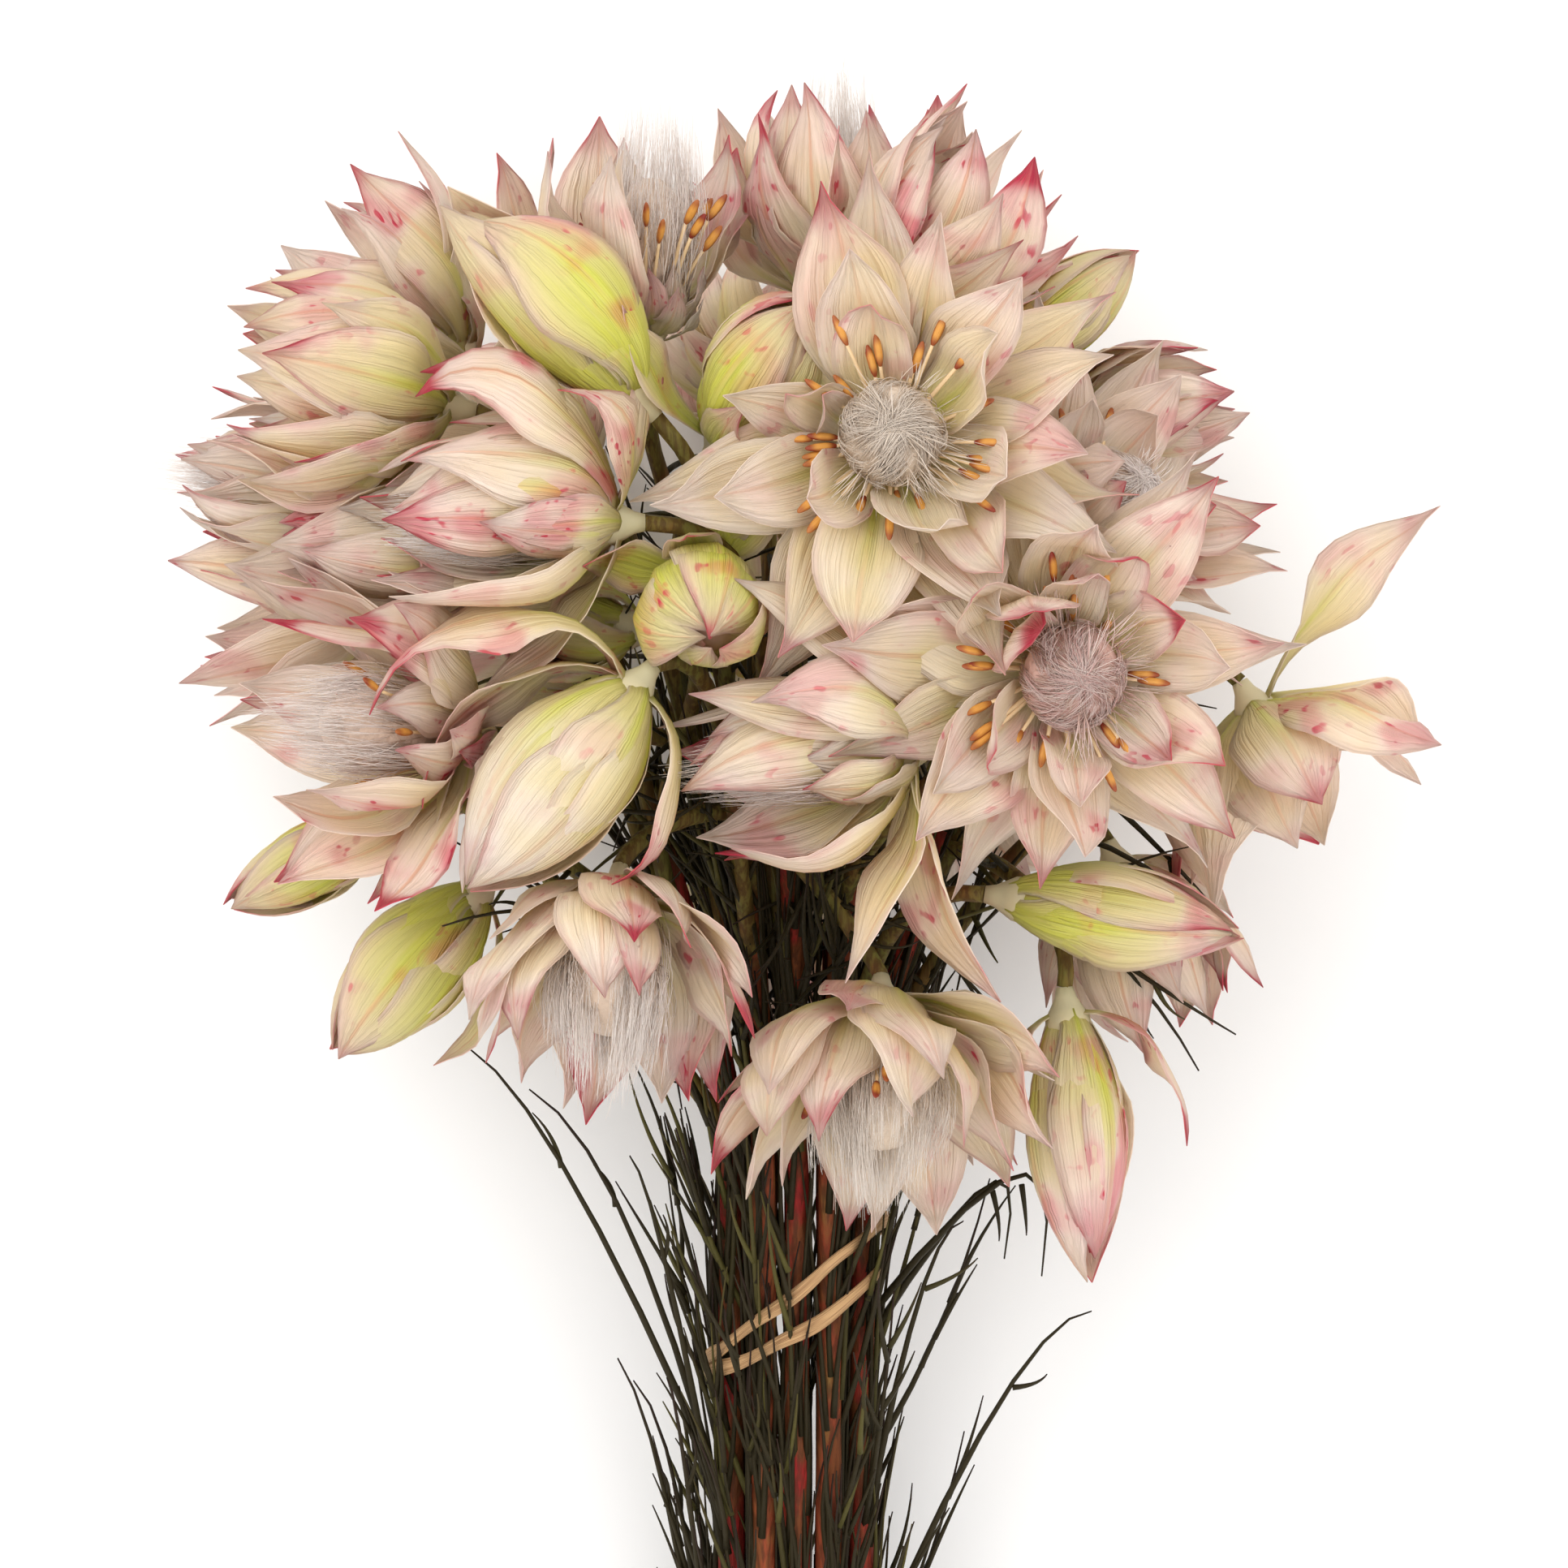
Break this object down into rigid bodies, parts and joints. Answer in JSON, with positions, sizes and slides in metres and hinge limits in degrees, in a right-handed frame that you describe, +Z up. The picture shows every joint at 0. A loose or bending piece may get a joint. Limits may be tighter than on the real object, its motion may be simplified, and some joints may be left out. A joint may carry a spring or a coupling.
{
  "type": "tied bunch of blushing bride flowers",
  "caption": "Bunch of pale papery flower heads with pointed bracts, open, half open and in bud, on needle-leaved stems tied with raffia, lying on its back.",
  "frame": {"origin": "middle of the flat spot that the lowest bud rests on, on the surface the bunch lies on", "axes": "+Y along the stems towards the flower heads, +X to the right when seen from above with the heads up, +Z up from the surface"},
  "size_m": [0.1734, 0.2858, 0.1016],
  "materials": {
    "bract": "thin papery cream bracts, veined, with pink flush, crimson spots and pink points",
    "bud_bract": "closed bracts in greenish cream with a yellow-green midrib and pink points",
    "floret_hair": "silky silvery-white to mauve-pink hairs with orange anthers",
    "stem_and_needles": "red-brown woody stems with dark olive needle leaves",
    "raffia": "dry pale straw-coloured strand with fine lengthwise fibres"
  },
  "bodies": {
    "root": {"back_head_lower": "bract", "back_head_lower_left": "bract", "back_head_lower_right": "bract", "back_head_upper": "bract", "back_head_upper_left": "bract", "back_head_upper_right": "bract", "bud_centre": "bud_bract", "bud_far_lower_left": "bud_bract", "bud_front": "bud_bract", "bud_hanging_right": "bud_bract", "bud_left": "bud_bract", "bud_lower_left": "bud_bract", "bud_lower_right": "bud_bract", "bud_upper": "bud_bract", "bud_upper_left": "bud_bract", "bud_upper_right": "bud_bract", "drooping_head_far_right": "bract", "half_open_head_far_left": "bract", "half_open_head_far_right": "bract", "half_open_head_front": "bract", "half_open_head_front_florets": "floret_hair", "half_open_head_left": "bract", "half_open_head_left_edge": "bract", "half_open_head_left_edge_florets": "floret_hair", "half_open_head_left_florets": "floret_hair", "half_open_head_lower_left": "bract", "half_open_head_lower_right": "bract", "half_open_head_upper_left": "bract", "hanging_head_left": "bract", "hanging_head_left_florets": "floret_hair", "hanging_head_right": "bract", "hanging_head_right_florets": "floret_hair", "leafy_stem_bottom_left": "stem_and_needles", "leafy_stem_bottom_middle": "stem_and_needles", "leafy_stem_bottom_right": "stem_and_needles", "leafy_stem_far_left": "stem_and_needles", "leafy_stem_far_right": "stem_and_needles", "leafy_stem_left": "stem_and_needles", "leafy_stem_middle": "stem_and_needles", "leafy_stem_right": "stem_and_needles", "leafy_stem_top_left": "stem_and_needles", "leafy_stem_top_middle": "stem_and_needles", "leafy_stem_top_right": "stem_and_needles", "open_head_left": "bract", "open_head_left_florets": "floret_hair", "open_head_right_behind": "bract", "open_head_right_behind_florets": "floret_hair", "open_head_right_front": "bract", "open_head_right_front_florets": "floret_hair", "open_head_top": "bract", "open_head_top_florets": "floret_hair", "open_head_top_left": "bract", "open_head_top_left_florets": "floret_hair", "open_head_top_right": "bract", "open_head_upper_front": "bract", "open_head_upper_front_florets": "floret_hair", "open_head_upper_left": "bract", "raffia_tie": "raffia", "resting_bud": "bud_bract"}
  },
  "joints": []
}
